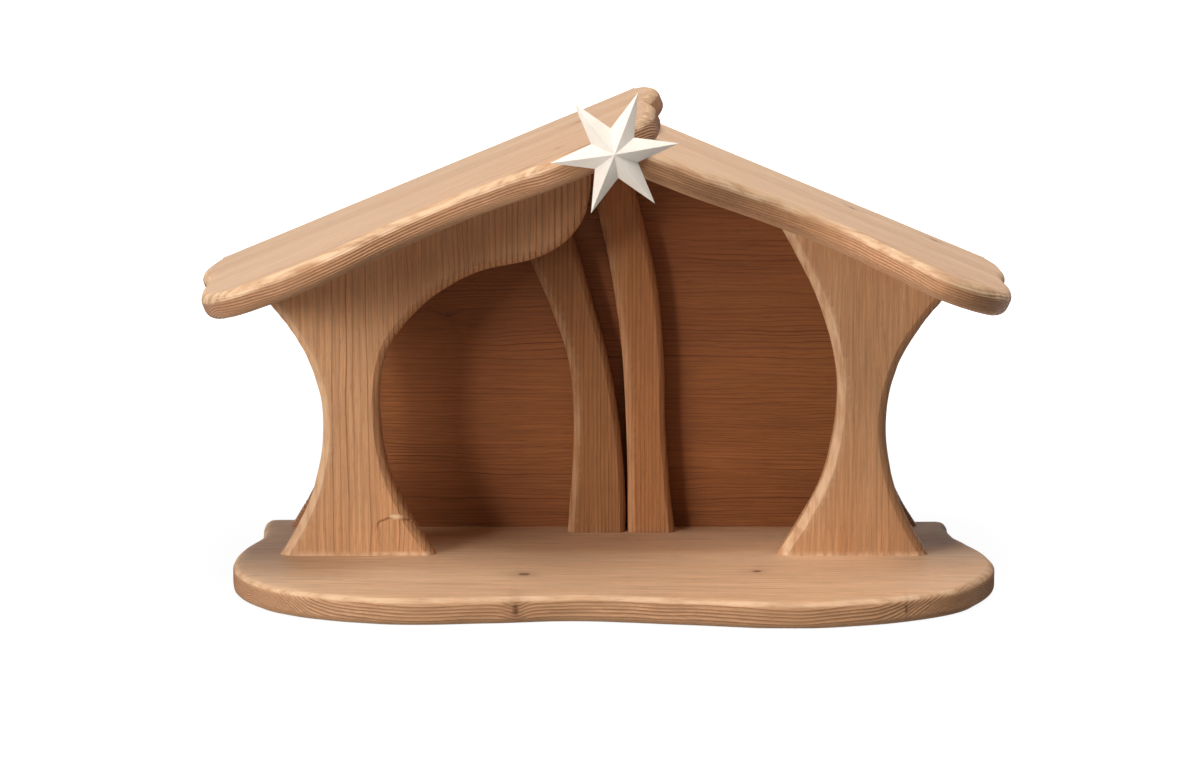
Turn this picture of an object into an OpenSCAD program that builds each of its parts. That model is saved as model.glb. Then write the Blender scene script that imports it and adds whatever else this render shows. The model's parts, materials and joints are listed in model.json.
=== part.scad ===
// Wooden nativity stable: seven shaped softwood boards and a back wall, glued and dowelled into
// an open-sided shelter, with a carved six-pointed star on a steel pin at the ridge.
// The origin is on the underside of the base board, below the ridge line and half way back.
// +X is to the right, +Y is to the back wall, +Z is up.

/* [Base board] */
// Width of the base board across its lobes
base_w = 339.5; // [330:0.5:360]
// Depth of the base board from its front lobes to its back edge
base_d = 154.6; // [150:0.2:170]
// Thickness of the base board
base_t = 12; // [11:0.5:16]
// Radius of the rounded arris of the base board
base_round = 3.5; // [2:0.1:5]

/* [Roof] */
// Height of the line where the two roof slopes meet, above the underside of the base
ridge_h = 209.8; // [200:0.2:230]
// Slope of each roof board, in degrees
roof_slope = 22.5; // [20:0.5:25]
// Thickness of the roof boards
roof_t = 12; // [11:0.5:14]
// Depth of the roof boards, front to back
roof_d = 157.5; // [150:0.5:170]
// How far the front reach of the roof stands out past the front reach of the base
roof_lead = 2.7; // [0:0.1:6]
// Length of the left roof board from the ridge line to its eave, along the slope
left_roof_l = 199; // [190:1:206]
// Length of the right roof board from the ridge line to its eave, along the slope
right_roof_l = 198.2; // [190:0.2:206]
// How far the left roof board runs on past the ridge line, along the slope
ridge_overhang = 25; // [22:0.5:30]
// Radius of the rounded arris of the roof boards
roof_round = 4.5; // [2:0.1:5]

/* [Front panels] */
// Thickness of the two front panels
panel_t = 12; // [10:0.5:16]
// Distance from the front reach of the base to the face of the front panels
panel_setback = 81.9; // [78:0.1:88]
// Reach of a front panel from the ridge plane to its outer top corner
panel_reach = 154; // [150:1:160]
// Radius of the rounded arris of the front panels
panel_round = 2.8; // [1.5:0.1:4]

/* [Back wall and inner posts] */
// Thickness of the back wall
wall_t = 12; // [10:0.5:14]
// Distance from the back edge of the base to the back face of the wall
wall_inset = 4.8; // [4:0.2:8]
// Thickness of the two inner posts, which stand against the back wall
post_t = 12; // [10:0.5:16]
// Reach of the pair of inner posts, from the ridge plane to the left post's top corner
post_reach = 49; // [46:0.5:52]
// Radius of the rounded arris of the inner posts and the back wall
post_round = 2.8; // [1.5:0.1:4]

/* [Dowels] */
// Diameter of the beech dowels
dowel_d = 6; // [5:0.5:6.5]
// Length of the beech dowels
dowel_l = 24; // [20:0.5:26]
// How deep a dowel sits in the base or in a roof board
dowel_seat = 8.5; // [7:0.25:9]
// Glue clearance round a dowel, on the radius
dowel_clear = 0.05; // [0.02:0.01:0.1]
// Space left past each end of a dowel
dowel_end_gap = 0.5; // [0.3:0.1:0.8]

/* [Star] */
// Reach of the star's points from its centre
star_r = 26.7; // [22:0.1:32]
// Reach of the star's valleys from its centre
star_valley_r = 10.3; // [8:0.1:14]
// Height of the star's centre above its back
star_h = 6; // [5:0.25:8]
// Thickness of the star's rim
star_rim = 1; // [0.6:0.1:1.6]
// Turn of the star from lying level on two of its points, in degrees
star_turn = 8.8; // [0:0.1:30]
// Diameter of the star's pin
pin_d = 2; // [1.5:0.1:2.5]
// Length of the pin behind the front reach of the roof
pin_seat = 16; // [10:0.5:18]
// Length of the pin inside the star
pin_in_star = 3.5; // [2.5:0.25:4]
// Running clearance round the pin, on the radius
pin_clear = 0.05; // [0.02:0.01:0.1]
// Gap between the star's back and the front reach of the roof
star_gap = 1; // [0.3:0.1:3]
// Distance of the pin past the ridge line, along the left board's slope
pin_past_ridge = 1.4; // [0:0.2:6]
// Distance of the pin below the left board's top face
pin_below_top = 6.9; // [5:0.1:8.5]

/* [Hidden] */

// Steps of one span of a smooth curve, and steps of one rounded arris
curve_steps = 4;
round_steps = 3;
bore_fn = 48;
point_count = 6;
// How far a cut runs past the face it opens
cut = 1;

// Places of the boards
base_front_y = -base_d / 2;
base_back_y = base_d / 2;
panel_front_y = base_front_y + panel_setback;
panel_mid_y = panel_front_y + panel_t / 2;
wall_back_y = base_back_y - wall_inset;
wall_front_y = wall_back_y - wall_t;
wall_mid_y = wall_back_y - wall_t / 2;
post_front_y = wall_front_y - post_t;
post_mid_y = wall_front_y - post_t / 2;
roof_front_y = base_front_y - roof_lead;
roof_mid_y = roof_front_y + roof_d / 2;

// Height of the roof's underside above the top of the base, at a distance from the ridge plane
roof_drop = roof_t / cos(roof_slope);
function under_roof(x) = ridge_h - base_t - roof_drop - abs(x) * tan(roof_slope);

// Distance along the right roof board at which it meets the left one's underside, at depth w
function butt_s(w) = (roof_t + w * cos(2 * roof_slope)) / sin(2 * roof_slope);

// Outline of the base board, from its back left corner round the front to its back right
// corner, as shares of its width and depth
base_shares = [
    [-0.45, 0.5], [-0.464, 0.492], [-0.469, 0.461], [-0.467, 0.373], [-0.466, 0.272],
    [-0.482, 0.14], [-0.489, -0.003], [-0.473, -0.185], [-0.42, -0.338], [-0.339, -0.426],
    [-0.249, -0.464], [-0.145, -0.449], [-0.03, -0.427], [0.091, -0.463], [0.204, -0.5],
    [0.273, -0.497], [0.357, -0.454], [0.444, -0.356], [0.491, -0.213], [0.511, -0.063],
    [0.504, 0.09], [0.478, 0.262], [0.471, 0.363], [0.472, 0.424], [0.47, 0.46], [0.461, 0.477],
    [0.448, 0.479]
];

// Outer side of a front panel and of the back wall, foot to top, as shares of the panel's reach
// and of the height at its top corner
hourglass_shares = [
    [0.946, 0], [0.894, 0.112], [0.849, 0.241], [0.821, 0.4], [0.818, 0.55], [0.842, 0.688],
    [0.894, 0.825], [1, 1]
];

// Inner side of the right front panel, top to foot, as shares of the same kind
right_opening_shares = [
    [0.483, 1], [0.557, 0.868], [0.62, 0.735], [0.666, 0.566], [0.669, 0.41], [0.636, 0.245],
    [0.575, 0.117], [0.501, 0]
];

// Inner side of the left front panel, from its nose under the ridge round the arch to its foot
left_opening_shares = [
    [0.041, 1], [0.04, 0.91], [0.063, 0.83], [0.13, 0.766], [0.22, 0.732], [0.363, 0.704],
    [0.487, 0.646], [0.581, 0.569], [0.633, 0.492], [0.65, 0.363], [0.627, 0.22],
    [0.565, 0.096], [0.492, 0]
];

// Sides of the inner posts, as shares of the pair's reach and of the height at each top corner
left_post_left_shares = [
    [-1, 1], [-0.69, 0.772], [-0.45, 0.6], [-0.317, 0.453], [-0.29, 0.31], [-0.315, 0.134],
    [-0.35, 0]
];
left_post_right_shares = [
    [0.203, 0], [0.2, 0.104], [0.14, 0.3], [0.045, 0.46], [-0.08, 0.592], [-0.27, 0.782],
    [-0.55, 1]
];
right_post_left_shares = [
    [-0.194, 1], [-0.06, 0.824], [0.06, 0.67], [0.14, 0.52], [0.185, 0.375], [0.213, 0.17],
    [0.222, 0]
];
right_post_right_shares = [
    [0.67, 0], [0.615, 0.13], [0.575, 0.29], [0.553, 0.48], [0.49, 0.644], [0.365, 0.796],
    [0.173, 1]
];

// The left roof board past the ridge line, from its back corner round its two lobes to the
// front, as shares of the overhang and of the roof's depth
left_ridge_end_shares = [
    [-0.62, 0.497], [-0.88, 0.414], [-1, 0.275], [-0.9, 0.145], [-0.79, 0.07], [-0.86, -0.024],
    [-0.895, -0.124], [-0.88, -0.224], [-0.82, -0.323], [-0.56, -0.413], [-0.15, -0.478]
];
// The rest of it along the front and round the eave's lobes to its back corner, as shares of the
// length and of the roof's depth
left_front_shares = [
    [0.07, -0.5], [0.155, -0.488], [0.25, -0.423], [0.36, -0.385], [0.48, -0.411],
    [0.6, -0.471], [0.72, -0.491], [0.815, -0.455], [0.88, -0.408], [0.924, -0.328],
    [0.948, -0.229], [0.957, -0.114], [0.96, 0.035], [0.98, 0.165], [1, 0.305], [0.99, 0.414],
    [0.965, 0.499]
];
// The right roof board from the ridge line along the front and round the eave's lobes
right_front_shares = [
    [0, -0.363], [0.1, -0.363], [0.221, -0.348], [0.341, -0.274], [0.462, -0.219],
    [0.582, -0.219], [0.683, -0.294], [0.763, -0.348], [0.815, -0.353], [0.877, -0.319],
    [0.93, -0.257], [0.965, -0.162], [0.977, -0.064], [0.976, 0.025], [0.975, 0.105],
    [0.981, 0.165], [0.994, 0.23], [1, 0.315], [0.995, 0.414], [0.965, 0.491]
];

// Dowels in the feet of the front panels and the wall, as shares of the panel's reach, and in
// the feet of the inner posts, as shares of their reach
panel_foot_shares = [0.64, 0.81];
wall_foot_shares = [-0.71, -0.26, 0.26, 0.71];
post_foot_shares = [-0.06, 0.41];
// Dowels in the tops of the front panels and the wall, as shares of the panel's reach
left_panel_top_shares = [0.34, 0.85];
right_panel_top_shares = [0.72, 0.89];
wall_top_shares = [0.39, 0.81];
// Dowels across the ridge, as shares of the roof's depth
ridge_shares = [-0.16, 0.1, 0.36];

// Point on a smooth curve between b and c, where a comes before and d after them
function between(a, b, c, d, t) =
    b + 0.5 * t * ((c - a) + t * ((2 * a - 5 * b + 4 * c - d) + t * (3 * b - 3 * c + d - a)));

// Smooth curve through the points of a run, both ends included
function smooth(p) =
    let (n = len(p) - 1)
    [
        for (i = [0:n - 1])
            for (k = [0:curve_steps - 1])
                between(
                    i == 0 ? 2 * p[0] - p[1] : p[i - 1],
                    p[i],
                    p[i + 1],
                    i == n - 1 ? 2 * p[n] - p[n - 1] : p[i + 2],
                    k / curve_steps
                ),
        p[n]
    ];

// Shares of a width and a height made into points
function sized(shares, w, h) = [for (s = shares) [s[0] * w, s[1] * h]];
// The points on the other side of the middle plane, in the reverse order
function mirrored(p) = [for (i = [len(p) - 1:-1:0]) [-p[i][0], p[i][1]]];
// The last point of a run
function end_of(p) = p[len(p) - 1];

// A side is [points, share of the arris radius]. The sides of an outline run anticlockwise, and
// each ends where the next one begins
function outline(sides) = [for (s = sides) for (k = [0:len(s[0]) - 2]) s[0][k]];
function edge_shares(sides) = [for (s = sides) for (k = [0:len(s[0]) - 2]) s[1]];

// Inward normal of the edge from a to b
function inward(a, b) = [a[1] - b[1], b[0] - a[0]] / norm(b - a);

// Outline drawn in by d, where each edge moves by its own share of d
function drawn_in(p, shares, d) =
    let (n = len(p))
    [
        for (i = [0:n - 1])
            let (
                before = inward(p[(i + n - 1) % n], p[i]),
                after = inward(p[i], p[(i + 1) % n]),
                d1 = d * shares[(i + n - 1) % n],
                d2 = d * shares[i],
                det = before[0] * after[1] - before[1] * after[0],
                level = (before + after) * (d1 + d2) / 4,
                meet = [d1 * after[1] - d2 * before[1], d2 * before[0] - d1 * after[0]]
            )
            p[i] + (abs(det) < 0.01 ? level : meet / det)
    ];

// Whether q lies inside the triangle a, b, c
function in_triangle(q, a, b, c) =
    cross(b - a, q - a) > 0 && cross(c - b, q - b) > 0 && cross(a - c, q - c) > 0;
// Whether the corner of an outline at place k of ids can be cut off as a triangle of its own
function is_ear(p, ids, k) =
    let (n = len(ids), a = p[ids[(k + n - 1) % n]], b = p[ids[k]], c = p[ids[(k + 1) % n]])
    cross(b - a, c - b) > 0 && len([for (i = ids) if (in_triangle(p[i], a, b, c)) i]) == 0;
function first_ear(p, ids, k = 0) =
    is_ear(p, ids, k) || k == len(ids) - 1 ? k : first_ear(p, ids, k + 1);
// The triangles that fill an outline
function filled(p, ids) =
    len(ids) == 3 ? [ids] :
    let (n = len(ids), k = first_ear(p, ids))
    concat(
        [[ids[(k + n - 1) % n], ids[k], ids[(k + 1) % n]]],
        filled(p, [for (i = [1:n - 1]) ids[(k + i) % n]])
    );

// A flat board of thickness t that lies on the XY plane, with arrises of radius r
module board(sides, t, r) {
    p = outline(sides);
    shares = edge_shares(sides);
    n = len(p);
    quarter = [for (k = [0:round_steps]) 90 * k / round_steps];
    rings = concat(
        [for (a = quarter) [r - r * sin(a), r - r * cos(a)]],
        [for (a = quarter) [r - r * cos(a), t - r + r * sin(a)]]
    );
    top = (len(rings) - 1) * n;
    flat = filled(drawn_in(p, shares, r), [for (i = [0:n - 1]) i]);
    polyhedron(
        points = [
            for (ring = rings)
                for (q = drawn_in(p, shares, ring[0]))
                    [q[0], q[1], ring[1]]
        ],
        faces = concat(
            flat,
            [for (f = flat) [top + f[2], top + f[1], top + f[0]]],
            [
                for (j = [0:len(rings) - 2])
                    for (i = [0:n - 1])
                        let (a = j * n + i, b = j * n + (i + 1) % n)
                        each [[a, a + n, b + n], [a, b + n, b]]
            ]
        )
    );
}

// A board that stands on the base, its outline in X and Z and its front face at y
module standing_board(sides, y, t, r) {
    translate([0, y + t, base_t])
        rotate([90, 0, 0])
            board(sides, t, r);
}

// Places what is drawn on a level roof, x from the ridge line and z up from the top face, on the
// right slope or the left one
module right_slope() {
    translate([0, 0, ridge_h])
        rotate([0, roof_slope, 0])
            children();
}
module left_slope() {
    translate([0, 0, ridge_h])
        mirror([1, 0, 0])
            rotate([0, roof_slope, 0])
                children();
}

// Dowels in the base, or their holes when the gap and the clearance are given
foot_places = concat(
    [for (s = panel_foot_shares) each [[-s * panel_reach, panel_mid_y], [s * panel_reach, panel_mid_y]]],
    [for (s = wall_foot_shares) [s * panel_reach, wall_mid_y]],
    [for (s = post_foot_shares) [s * post_reach, post_mid_y]]
);
module foot_rods(gap = 0, clear = 0) {
    for (p = foot_places)
        translate([p[0], p[1], base_t - dowel_seat - gap])
            cylinder(h = dowel_l + 2 * gap, d = dowel_d + 2 * clear, $fn = bore_fn);
}

// Dowels square to one slope of the roof, at distances from the ridge plane along its underside
left_top_places = concat(
    [for (s = left_panel_top_shares) [s * panel_reach, panel_mid_y]],
    [for (s = wall_top_shares) [s * panel_reach, wall_mid_y]]
);
right_top_places = concat(
    [for (s = right_panel_top_shares) [s * panel_reach, panel_mid_y]],
    [for (s = wall_top_shares) [s * panel_reach, wall_mid_y]]
);
module slope_rods(places, gap = 0, clear = 0) {
    for (p = places)
        translate([
            p[0] / cos(roof_slope) + roof_t * tan(roof_slope),
            p[1],
            dowel_seat - roof_t - dowel_l - gap
        ])
            cylinder(h = dowel_l + 2 * gap, d = dowel_d + 2 * clear, $fn = bore_fn);
}

// Dowels that run from the right roof board's upper end into the left roof board
module ridge_rods(gap = 0, clear = 0) {
    right_slope()
        for (s = ridge_shares)
            translate([butt_s(-roof_t / 2) - dowel_seat - gap, roof_mid_y + s * roof_d, -roof_t / 2])
                rotate([0, 90, 0])
                    cylinder(h = dowel_l + 2 * gap, d = dowel_d + 2 * clear, $fn = bore_fn);
}

// Holes for all the dowels
module dowel_holes() {
    foot_rods(dowel_end_gap, dowel_clear);
    left_slope() slope_rods(left_top_places, dowel_end_gap, dowel_clear);
    right_slope() slope_rods(right_top_places, dowel_end_gap, dowel_clear);
    ridge_rods(dowel_end_gap, dowel_clear);
}

// The star's pin: its axis, its back end and the star's back face
pin_x = pin_past_ridge * cos(roof_slope) + pin_below_top * sin(roof_slope);
pin_z = ridge_h + pin_past_ridge * sin(roof_slope) - pin_below_top * cos(roof_slope);
pin_back_y = roof_front_y + pin_seat;
star_back_y = roof_front_y - star_gap;
pin_l = pin_back_y - star_back_y + pin_in_star;
module pin_rod(y, l, d) {
    translate([pin_x, y, pin_z])
        rotate([90, 0, 0])
            cylinder(h = l, d = d, $fn = bore_fn);
}

module base_board() {
    p = smooth(sized(base_shares, base_w, base_d));
    color("tan")
        difference() {
            board([[p, 1], [[end_of(p), p[0]], 1]], base_t, base_round);
            foot_rods(dowel_end_gap, dowel_clear);
        }
}

// The hourglass side of a panel, foot to top
hourglass = smooth(sized(hourglass_shares, panel_reach, under_roof(panel_reach)));

module front_panel_left() {
    top_x = left_opening_shares[0][0] * panel_reach;
    inner = mirrored(smooth(sized(left_opening_shares, panel_reach, under_roof(top_x))));
    outer = mirrored(hourglass);
    color("peru")
        difference() {
            standing_board(
                [
                    [outer, 1],
                    [[end_of(outer), inner[0]], 0],
                    [inner, 1],
                    [[end_of(inner), outer[0]], 0]
                ],
                panel_front_y, panel_t, panel_round
            );
            dowel_holes();
        }
}

module front_panel_right() {
    top_x = right_opening_shares[0][0] * panel_reach;
    inner = smooth(sized(right_opening_shares, panel_reach, under_roof(top_x)));
    color("peru")
        difference() {
            standing_board(
                [
                    [hourglass, 1],
                    [[end_of(hourglass), inner[0]], 0],
                    [inner, 1],
                    [[end_of(inner), hourglass[0]], 0]
                ],
                panel_front_y, panel_t, panel_round
            );
            dowel_holes();
        }
}

// A side of an inner post, whose shares follow the height under the roof at its top corner
function post_side(shares, top) =
    smooth(sized(shares, post_reach, under_roof(shares[top][0] * post_reach)));

module inner_post_left() {
    left = post_side(left_post_left_shares, 0);
    right = post_side(left_post_right_shares, len(left_post_right_shares) - 1);
    color("sienna")
        difference() {
            standing_board(
                [[left, 1], [[end_of(left), right[0]], 0], [right, 1], [[end_of(right), left[0]], 0]],
                post_front_y, post_t, post_round
            );
            dowel_holes();
        }
}

module inner_post_right() {
    left = post_side(right_post_left_shares, 0);
    right = post_side(right_post_right_shares, len(right_post_right_shares) - 1);
    color("sienna")
        difference() {
            standing_board(
                [
                    [left, 1],
                    [[end_of(left), right[0]], 0],
                    [right, 1],
                    [[end_of(right), [0, under_roof(0)], left[0]], 0]
                ],
                post_front_y, post_t, post_round
            );
            dowel_holes();
        }
}

module back_wall() {
    left = mirrored(hourglass);
    color("saddlebrown")
        difference() {
            standing_board(
                [
                    [hourglass, 1],
                    [[end_of(hourglass), [0, under_roof(0)], left[0]], 0],
                    [left, 1],
                    [[end_of(left), hourglass[0]], 0]
                ],
                wall_front_y, wall_t, post_round
            );
            dowel_holes();
        }
}

module roof_board_left() {
    p = smooth(concat(
        sized(left_ridge_end_shares, ridge_overhang, roof_d),
        sized(left_front_shares, left_roof_l, roof_d)
    ));
    color("burlywood")
        difference() {
            left_slope()
                translate([0, roof_mid_y, -roof_t])
                    board([[p, 1], [[end_of(p), p[0]], 1]], roof_t, roof_round);
            dowel_holes();
            pin_rod(pin_back_y + dowel_end_gap, pin_l, pin_d + 2 * pin_clear);
        }
}

module roof_board_right() {
    p = smooth(sized(right_front_shares, right_roof_l, roof_d));
    back = [p[0][0], end_of(p)[1]];
    color("burlywood")
        difference() {
            right_slope()
                difference() {
                    translate([0, roof_mid_y, -roof_t])
                        board(
                            [[p, 1], [[end_of(p), back], 1], [[back, p[0]], 0]],
                            roof_t, roof_round
                        );
                    translate([butt_s(0), 0, 0])
                        rotate([0, -2 * roof_slope, 0])
                            translate([-roof_d, -roof_d, 0])
                                cube([2 * roof_d, 2 * roof_d, roof_d]);
                }
            dowel_holes();
        }
}

module base_dowels() {
    color("wheat")
        foot_rods();
}

module roof_dowels() {
    color("wheat") {
        left_slope() slope_rods(left_top_places);
        right_slope() slope_rods(right_top_places);
    }
}

module ridge_dowels() {
    color("wheat")
        ridge_rods();
}

module star_pin() {
    color("silver")
        pin_rod(pin_back_y, pin_l, pin_d);
}

// A star whose ridges run from its centre to its points, and whose back is flat
module star() {
    n = 2 * point_count;
    rim = [
        for (i = [0:n - 1])
            let (a = 180 * i / point_count, r = i % 2 == 0 ? star_r : star_valley_r)
            [r * cos(a), r * sin(a)]
    ];
    color("ivory")
        difference() {
            translate([pin_x, star_back_y, pin_z])
                rotate([90, 0, 0])
                    rotate([0, 0, star_turn])
                        polyhedron(
                            points = concat(
                                [for (q = rim) [q[0], q[1], 0]],
                                [for (q = rim) [q[0], q[1], star_rim]],
                                [[0, 0, star_h], [0, 0, 0]]
                            ),
                            faces = [
                                for (i = [0:n - 1])
                                    let (j = (i + 1) % n)
                                    each [
                                        [i, i + n, j + n],
                                        [i, j + n, j],
                                        [i + n, 2 * n, j + n],
                                        [i, j, 2 * n + 1]
                                    ]
                            ]
                        );
            pin_rod(star_back_y + cut, pin_in_star + dowel_end_gap + cut, pin_d + 2 * pin_clear);
        }
}

base_board();
front_panel_left();
front_panel_right();
inner_post_left();
inner_post_right();
back_wall();
roof_board_left();
roof_board_right();
base_dowels();
roof_dowels();
ridge_dowels();
star_pin();
star();
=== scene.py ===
"""Wooden nativity stable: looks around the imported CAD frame.

Each board is rebuilt from its own CAD outline as a fine mesh with rounded arrises. A field of
growth rings runs through its solid: it cuts brushed grooves into the edges and draws the lines.
Lengths inside the board code are in millimetres, and every object is in metres.
"""

import json
import math

import bmesh
import bpy
import numpy as np
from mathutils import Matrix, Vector
from mathutils.geometry import delaunay_2d_cdt

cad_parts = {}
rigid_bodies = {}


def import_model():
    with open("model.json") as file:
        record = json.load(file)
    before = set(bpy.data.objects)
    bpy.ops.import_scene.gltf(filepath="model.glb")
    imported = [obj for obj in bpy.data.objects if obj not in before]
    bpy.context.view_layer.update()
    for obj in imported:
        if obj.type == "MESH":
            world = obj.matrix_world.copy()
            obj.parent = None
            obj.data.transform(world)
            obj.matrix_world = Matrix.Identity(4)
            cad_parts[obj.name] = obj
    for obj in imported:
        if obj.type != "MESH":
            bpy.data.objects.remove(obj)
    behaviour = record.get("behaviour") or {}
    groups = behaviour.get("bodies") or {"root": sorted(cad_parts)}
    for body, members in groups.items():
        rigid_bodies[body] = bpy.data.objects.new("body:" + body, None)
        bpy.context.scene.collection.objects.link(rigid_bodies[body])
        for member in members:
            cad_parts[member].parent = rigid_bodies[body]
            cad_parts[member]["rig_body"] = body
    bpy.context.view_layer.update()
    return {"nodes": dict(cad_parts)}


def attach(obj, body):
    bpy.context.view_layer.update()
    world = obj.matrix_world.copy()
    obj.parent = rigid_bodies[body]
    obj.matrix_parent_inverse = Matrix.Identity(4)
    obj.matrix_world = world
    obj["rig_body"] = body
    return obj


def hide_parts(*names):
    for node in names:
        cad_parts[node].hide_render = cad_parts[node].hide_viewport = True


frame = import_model()

MM = 0.001
SEED = 20

# Spacing of an outline's points where it crosses the grain and where it runs along the grain
CROSSING_STEP, ALONG_STEP = 0.3, 0.9
# Spacing of the rows up the flat wall of an edge
WALL_STEP = 0.27
# Spacing along and across the grain, and random shift, of the points inside a flat face
FACE_STEPS, FACE_SHIFT = (4.0, 1.6), 0.3
# The same around a knot and in a chipped area
KNOT_STEPS, KNOT_SHIFT = (0.5, 0.35), 0.08
CHIP_STEPS, CHIP_SHIFT = (0.5, 0.5), 0.1
# How far the finer points around a knot reach, at least and in its own sizes
KNOT_PATCH, KNOT_PATCH_SIZES = (4, 3), 2.4
# Room kept between those points and the face's rim
RIM_MARGIN = 0.5
# Steps round an arris where a board names no other number
ARRIS_STEPS = 16

# Cosine above which two normals point the same way
SAME_WAY = 0.9999
# Sine of a turn below which two edges of an outline count as one line
NEARLY_STRAIGHT = 0.02
# Turn at which an outline has a corner
CORNER = math.radians(28)
# Angle between faces that shade as a sharp edge
SHARP = math.radians(58)
# Area under which a triangle is left out, and difference of height that counts as none
SMALLEST_AREA, LEVEL = 1e-7, 0.01
# Smallest lean through the thickness that is followed, and the length over which it ends
LEAST_LEAN, LEAN_REACH = 1, 30


# Outlines from the CAD boards


def cad_mesh(node):
    """Welded vertices in mm, and the triangles with their normals and areas."""
    mesh = frame["nodes"][node].data
    mesh.calc_loop_triangles()
    co = np.empty(len(mesh.vertices) * 3)
    mesh.vertices.foreach_get("co", co)
    tri = np.empty(len(mesh.loop_triangles) * 3, int)
    mesh.loop_triangles.foreach_get("vertices", tri)
    _, first, same = np.unique(
        np.round(co.reshape(-1, 3) / MM, 3), axis=0, return_index=True, return_inverse=True
    )
    verts = co.reshape(-1, 3)[first] / MM
    tri = same.reshape(-1)[tri].reshape(-1, 3)
    cross = np.cross(verts[tri[:, 1]] - verts[tri[:, 0]], verts[tri[:, 2]] - verts[tri[:, 0]])
    area = np.linalg.norm(cross, axis=1) / 2
    keep = area > SMALLEST_AREA
    return verts, tri[keep], cross[keep] / (2 * area[keep, None]), area[keep]


def board_axes(normals, areas):
    """Axes of a board: a and b in its plane, and n out of the face that shows."""
    best = normals[np.argmax([areas[(normals @ n) > SAME_WAY].sum() for n in normals])]
    alike = (normals @ best) > SAME_WAY
    best = (normals[alike] * areas[alike, None]).sum(0)
    best = np.where(abs(best) < 1e-3 * abs(best).max(), 0, best)
    best /= np.linalg.norm(best)
    # The face that shows looks up, or to the front on an upright board
    shows = best[2] > 0.3 or best[1] < -0.9
    n = best if shows else -best
    b = np.array([0.0, 1, 0]) if abs(n[1]) < 0.5 else np.array([0.0, 0, 1])
    return np.cross(b, n), b, n


def loops_of(edges):
    """Directed edges joined into closed loops of vertex numbers."""
    following = dict(edges)
    loops = []
    while following:
        start, at = following.popitem()
        loop = [start]
        while at != start:
            loop.append(at)
            at = following.pop(at)
        loops.append(loop)
    return loops


def shoelace(outline):
    """Signed area of an outline."""
    after = np.roll(outline, -1, 0)
    return float((outline[:, 0] * after[:, 1] - after[:, 0] * outline[:, 1]).sum() / 2)


def offset(outline, by):
    """Outline whose edge i (from point i on) moves outward by by[i]."""
    along = np.roll(outline, -1, 0) - outline
    along /= np.linalg.norm(along, axis=1)[:, None]
    out = np.stack([along[:, 1], -along[:, 0]], 1)
    out_before, by_before = np.roll(out, 1, 0), np.roll(by, 1)
    turn = out_before[:, 0] * out[:, 1] - out_before[:, 1] * out[:, 0]
    straight = abs(turn) < NEARLY_STRAIGHT
    level = (out_before + out) * (by_before + by)[:, None] / 4
    meet = np.stack([
        by_before * out[:, 1] - by * out_before[:, 1],
        by * out_before[:, 0] - by_before * out[:, 0],
    ], 1) / np.where(straight, 1, turn)[:, None]
    return outline + np.where(straight[:, None], level, meet)


def cad_board(node):
    """Axes, outline, arris share of each edge, thickness range and arris radius of a CAD board."""
    verts, tri, normals, areas = cad_mesh(node)
    axes = board_axes(normals, areas)
    local = verts @ np.stack(axes, 1)
    facing = normals @ axes[2]
    low, high = local[:, 2].min(), local[:, 2].max()
    cap = (facing > SAME_WAY) & (local[tri].min(1)[:, 2] > high - LEVEL)
    beside = {(tri[t, k], tri[t, (k + 1) % 3]): t for t in np.flatnonzero(~cap) for k in range(3)}
    inner = {(t[k], t[(k + 1) % 3]) for t in tri[cap] for k in range(3)}
    rim = [e for e in inner if (e[1], e[0]) not in inner]
    loop = max(loops_of(rim), key=lambda ids: abs(shoelace(local[ids][:, :2])))
    flat = local[loop][:, :2]
    facets = [beside[(b, a)] for a, b in zip(loop, loop[1:] + loop[:1])]
    # The first facet beside the face is nearly level on an arris and upright at a joint
    shares = (facing[facets] > 0.8).astype(float)
    # Where that facet ends, the arris has turned twice as far as the facet itself
    drop = high - local[tri[facets]][:, :, 2].min(1)
    radius = float(np.median((drop / (2 - 2 * facing[facets] ** 2))[shares > 0]))
    # How far the outline's straight cut at the ridge leans through the thickness
    lean = flat[:, 0].min() - local[local[:, 2] < low + LEVEL][:, 0].min()
    return {
        "axes": axes, "outline": offset(flat, shares * radius), "shares": shares, "low": low,
        "high": high, "radius": radius, "lean": lean,
    }


def smooth_outline(outline, shares, grain):
    """An outline drawn as a closed curve: its points and their arris shares."""
    n = len(outline)
    step = np.roll(outline, -1, 0) - outline
    ahead = step / np.linalg.norm(step, axis=1)[:, None]
    turn = (np.roll(ahead, 1, 0) * ahead).sum(1)
    corner = (turn < math.cos(CORNER)) | (np.roll(shares, 1) != shares)
    points, share = [], []
    for i in range(n):
        p1, p2 = outline[i], outline[(i + 1) % n]
        p0 = 2 * p1 - p2 if corner[i] else outline[i - 1]
        p3 = 2 * p2 - p1 if corner[(i + 1) % n] else outline[(i + 2) % n]
        length = np.linalg.norm(p2 - p1)
        m1 = (p2 - p0) / (length + np.linalg.norm(p1 - p0)) * length
        m2 = (p3 - p1) / (length + np.linalg.norm(p3 - p2)) * length
        cross = abs(ahead[i] @ np.array([-grain[1], grain[0]]))
        spacing = CROSSING_STEP + (ALONG_STEP - CROSSING_STEP) * (1 - cross) ** 0.7
        for t in np.arange(0, 1, 1 / max(1, round(length / spacing))).tolist():
            h = (2 * t**3 - 3 * t**2 + 1, t**3 - 2 * t**2 + t, 3 * t**2 - 2 * t**3, t**3 - t**2)
            points.append(h[0] * p1 + h[1] * m1 + h[2] * p2 + h[3] * m2)
            share.append(shares[i])
    return np.array(points), np.array(share)


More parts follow.
